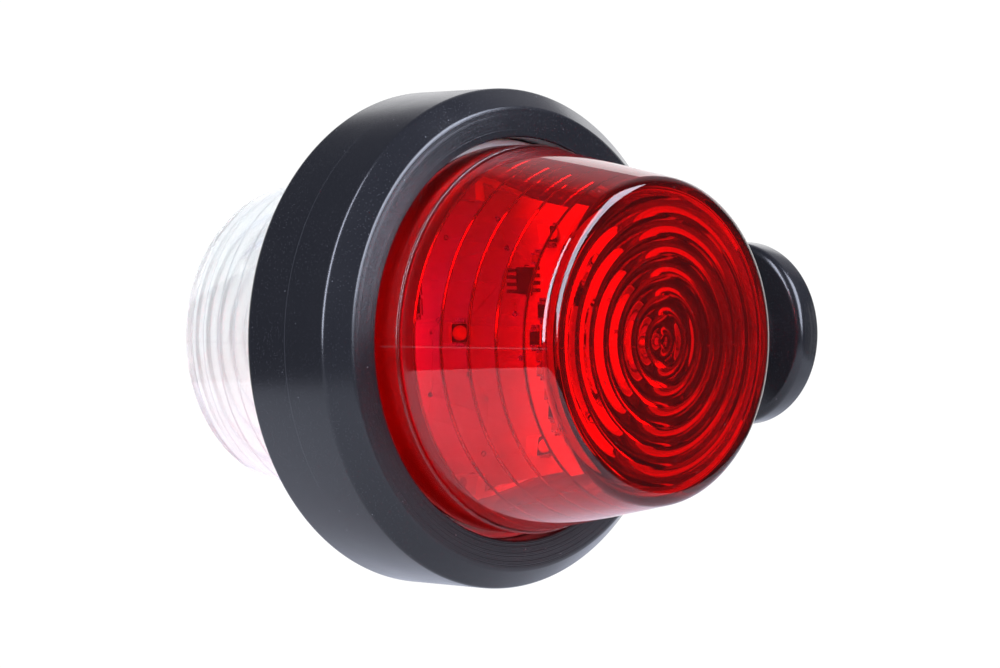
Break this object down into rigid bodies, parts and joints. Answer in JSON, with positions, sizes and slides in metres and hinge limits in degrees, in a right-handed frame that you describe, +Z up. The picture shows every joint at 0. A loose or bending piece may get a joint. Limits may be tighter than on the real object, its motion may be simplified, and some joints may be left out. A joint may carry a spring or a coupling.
{
  "type": "double-sided marker lamp",
  "caption": "Double-sided marker lamp: a black ring on a short flanged foot holds a red and a clear screw-in lens around an upright circuit board.",
  "frame": {"origin": "centre of the foot's mounting face, on the cable hole's axis", "axes": "+X out of the mounting face, away from the lamp; the lamp axis is parallel to Y with the red lens towards -Y and the clear lens towards +Y; +Z up"},
  "size_m": [0.114, 0.0912, 0.084],
  "materials": {
    "housing_black": "satin moulded, slightly glossy",
    "insert_brass": "turned",
    "black_rubber": "moulded",
    "carrier_white": "moulded satin",
    "board_white": "white solder mask over glass fibre board",
    "screw_steel": "zinc plated",
    "terminal_green": "moulded",
    "moulded_black": "moulded epoxy",
    "tinned_leads": "tinned, bright",
    "capacitor_tan": "fired ceramic",
    "can_aluminium": "satin can",
    "ferrite_grey": "ferrite",
    "led_white": "moulded",
    "led_red_window": "clear tinted resin",
    "led_yellow_window": "phosphor resin",
    "lens_red": "polished transparent moulding",
    "lens_clear": "polished transparent moulding"
  },
  "bodies": {
    "housing": {"housing": "housing_black", "threaded_inserts": "insert_brass", "cable_grommet": "black_rubber", "lens_carrier": "carrier_white", "circuit_board": "board_white", "board_screws": "screw_steel", "terminal_block": "terminal_green", "terminal_screws": "screw_steel", "driver_chip": "moulded_black", "driver_chip_leads": "tinned_leads", "resistors": "moulded_black", "ceramic_capacitors": "capacitor_tan", "smoothing_capacitor": "can_aluminium", "power_inductor": "ferrite_grey", "input_rectifier": "moulded_black", "surge_suppressor": "moulded_black", "red_led_bodies": "led_white", "red_led_domes": "led_red_window", "white_led_bodies": "led_white", "white_led_domes": "led_yellow_window", "led_leads": "tinned_leads"},
    "red_seal": {"red_lens_seal": "black_rubber"},
    "red_lens": {"red_lens": "lens_red"},
    "clear_seal": {"clear_lens_seal": "black_rubber"},
    "clear_lens": {"clear_lens": "lens_clear"}
  },
  "joints": [
    {"name": "red_lens_lift", "type": "slide", "parent": "housing", "child": "red_seal", "axis": [0, -1, 0], "range_m": [0, 0.0042]},
    {"name": "red_lens_turn", "type": "hinge", "parent": "red_seal", "child": "red_lens", "pos_m": [-0.072, 0, 0], "axis": [0, -1, 0], "range_deg": [0, 300]},
    {"name": "clear_lens_lift", "type": "slide", "parent": "housing", "child": "clear_seal", "axis": [0, 1, 0], "range_m": [0, 0.0042]},
    {"name": "clear_lens_turn", "type": "hinge", "parent": "clear_seal", "child": "clear_lens", "pos_m": [-0.072, 0, 0], "axis": [0, 1, 0], "range_deg": [0, 300]}
  ],
  "couplings": [
    {"joint": "red_lens_lift", "follows": "red_lens_turn", "m_per_rad": 0.0008},
    {"joint": "clear_lens_lift", "follows": "clear_lens_turn", "m_per_rad": 0.0008}
  ]
}
